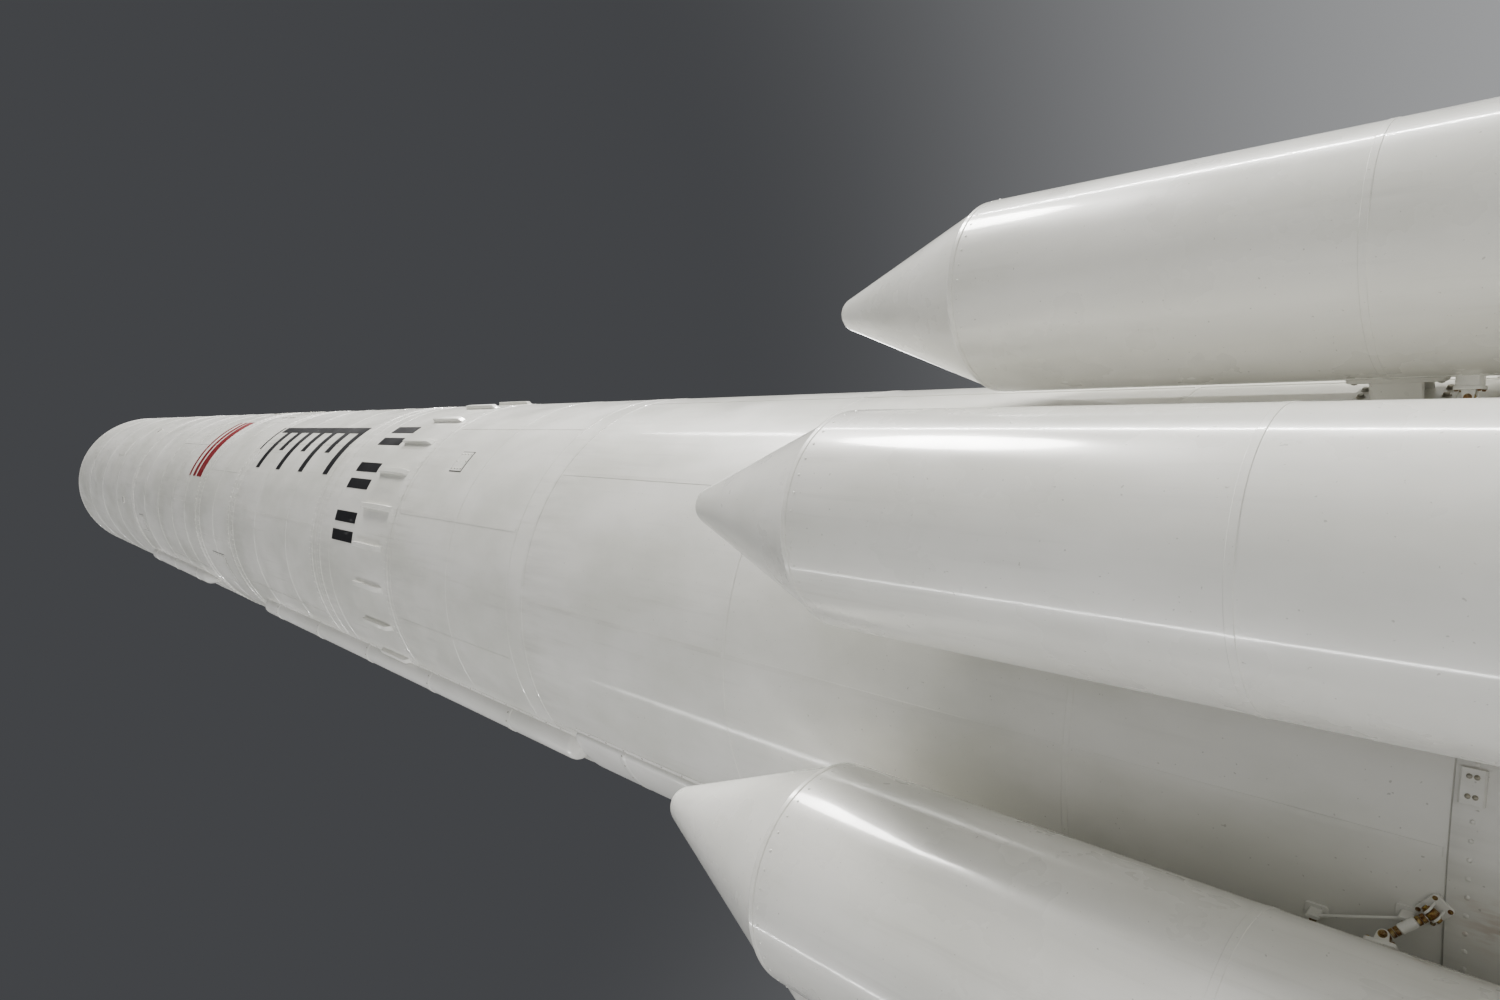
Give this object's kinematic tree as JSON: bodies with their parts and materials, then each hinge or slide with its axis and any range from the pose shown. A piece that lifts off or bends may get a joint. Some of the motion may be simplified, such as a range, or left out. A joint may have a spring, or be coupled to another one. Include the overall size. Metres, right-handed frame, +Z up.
{
  "type": "space rocket",
  "caption": "Upright white space rocket with a ring of strap-on boosters, side raceways, hinged payload fairing halves, a gimballed main engine and small steering engines.",
  "frame": {"origin": "centre of the lower face of the base ring, on the launch mount", "axes": "+Z up along the core, -Y towards the middle booster of the front side, +X to the right seen from the front"},
  "size_m": [3.9746, 3.9359, 25.1144],
  "materials": {
    "core_paint": "satin off-white paint with faint streaks",
    "booster_paint": "semi-gloss off-white paint",
    "cover_paint": "semi-gloss white paint",
    "motor_paint": "satin grey paint",
    "engine_steel": "dull steel",
    "nozzle_dark": "dark matte"
  },
  "bodies": {
    "airframe": {"engine_section": "core_paint", "oxidiser_tank": "core_paint", "center_body": "core_paint", "fuel_tank": "core_paint", "interstage": "core_paint", "second_stage": "core_paint", "third_stage_motor": "motor_paint", "payload_adapter": "motor_paint", "raceway_lower_left": "cover_paint", "raceway_lower_right": "cover_paint", "raceway_upper_left": "cover_paint", "raceway_upper_right": "cover_paint", "booster_case_1": "booster_paint", "booster_case_2": "booster_paint", "booster_case_3": "booster_paint", "booster_case_4": "booster_paint", "booster_case_5": "booster_paint", "booster_case_6": "booster_paint", "booster_case_7": "booster_paint", "booster_case_8": "booster_paint", "booster_case_9": "booster_paint", "booster_nose_1": "booster_paint", "booster_nose_2": "booster_paint", "booster_nose_3": "booster_paint", "booster_nose_4": "booster_paint", "booster_nose_5": "booster_paint", "booster_nose_6": "booster_paint", "booster_nose_7": "booster_paint", "booster_nose_8": "booster_paint", "booster_nose_9": "booster_paint", "booster_nozzle_1": "nozzle_dark", "booster_nozzle_2": "nozzle_dark", "booster_nozzle_3": "nozzle_dark", "booster_nozzle_4": "nozzle_dark", "booster_nozzle_5": "nozzle_dark", "booster_nozzle_6": "nozzle_dark", "booster_nozzle_7": "nozzle_dark", "booster_nozzle_8": "nozzle_dark", "booster_nozzle_9": "nozzle_dark"},
    "fairing_front": {"fairing_half_front": "core_paint"},
    "fairing_rear": {"fairing_half_rear": "core_paint"},
    "gimbal": {"gimbal_block": "engine_steel"},
    "thrust_chamber": {"main_engine": "engine_steel"},
    "vernier_left_body": {"vernier_left": "engine_steel"},
    "vernier_right_body": {"vernier_right": "engine_steel"}
  },
  "joints": [
    {"name": "fairing_front_hinge", "type": "hinge", "parent": "airframe", "child": "fairing_front", "pos_m": [0, -1.22, 17.3], "axis": [1, 0, 0], "range_deg": [0, 60]},
    {"name": "fairing_rear_hinge", "type": "hinge", "parent": "airframe", "child": "fairing_rear", "pos_m": [0, 1.22, 17.3], "axis": [-1, 0, 0], "range_deg": [0, 60]},
    {"name": "engine_pitch", "type": "hinge", "parent": "airframe", "child": "gimbal", "pos_m": [0, 0, 1.64], "axis": [1, 0, 0], "range_deg": [-7, 7]},
    {"name": "engine_yaw", "type": "hinge", "parent": "gimbal", "child": "thrust_chamber", "pos_m": [0, 0, 1.64], "axis": [0, 1, 0], "range_deg": [-7, 7]},
    {"name": "vernier_left_swing", "type": "hinge", "parent": "airframe", "child": "vernier_left_body", "pos_m": [-1.01, 0, 0.56], "axis": [1, 0, 0], "range_deg": [-35, 35]},
    {"name": "vernier_right_swing", "type": "hinge", "parent": "airframe", "child": "vernier_right_body", "pos_m": [1.01, 0, 0.56], "axis": [1, 0, 0], "range_deg": [-35, 35]}
  ]
}
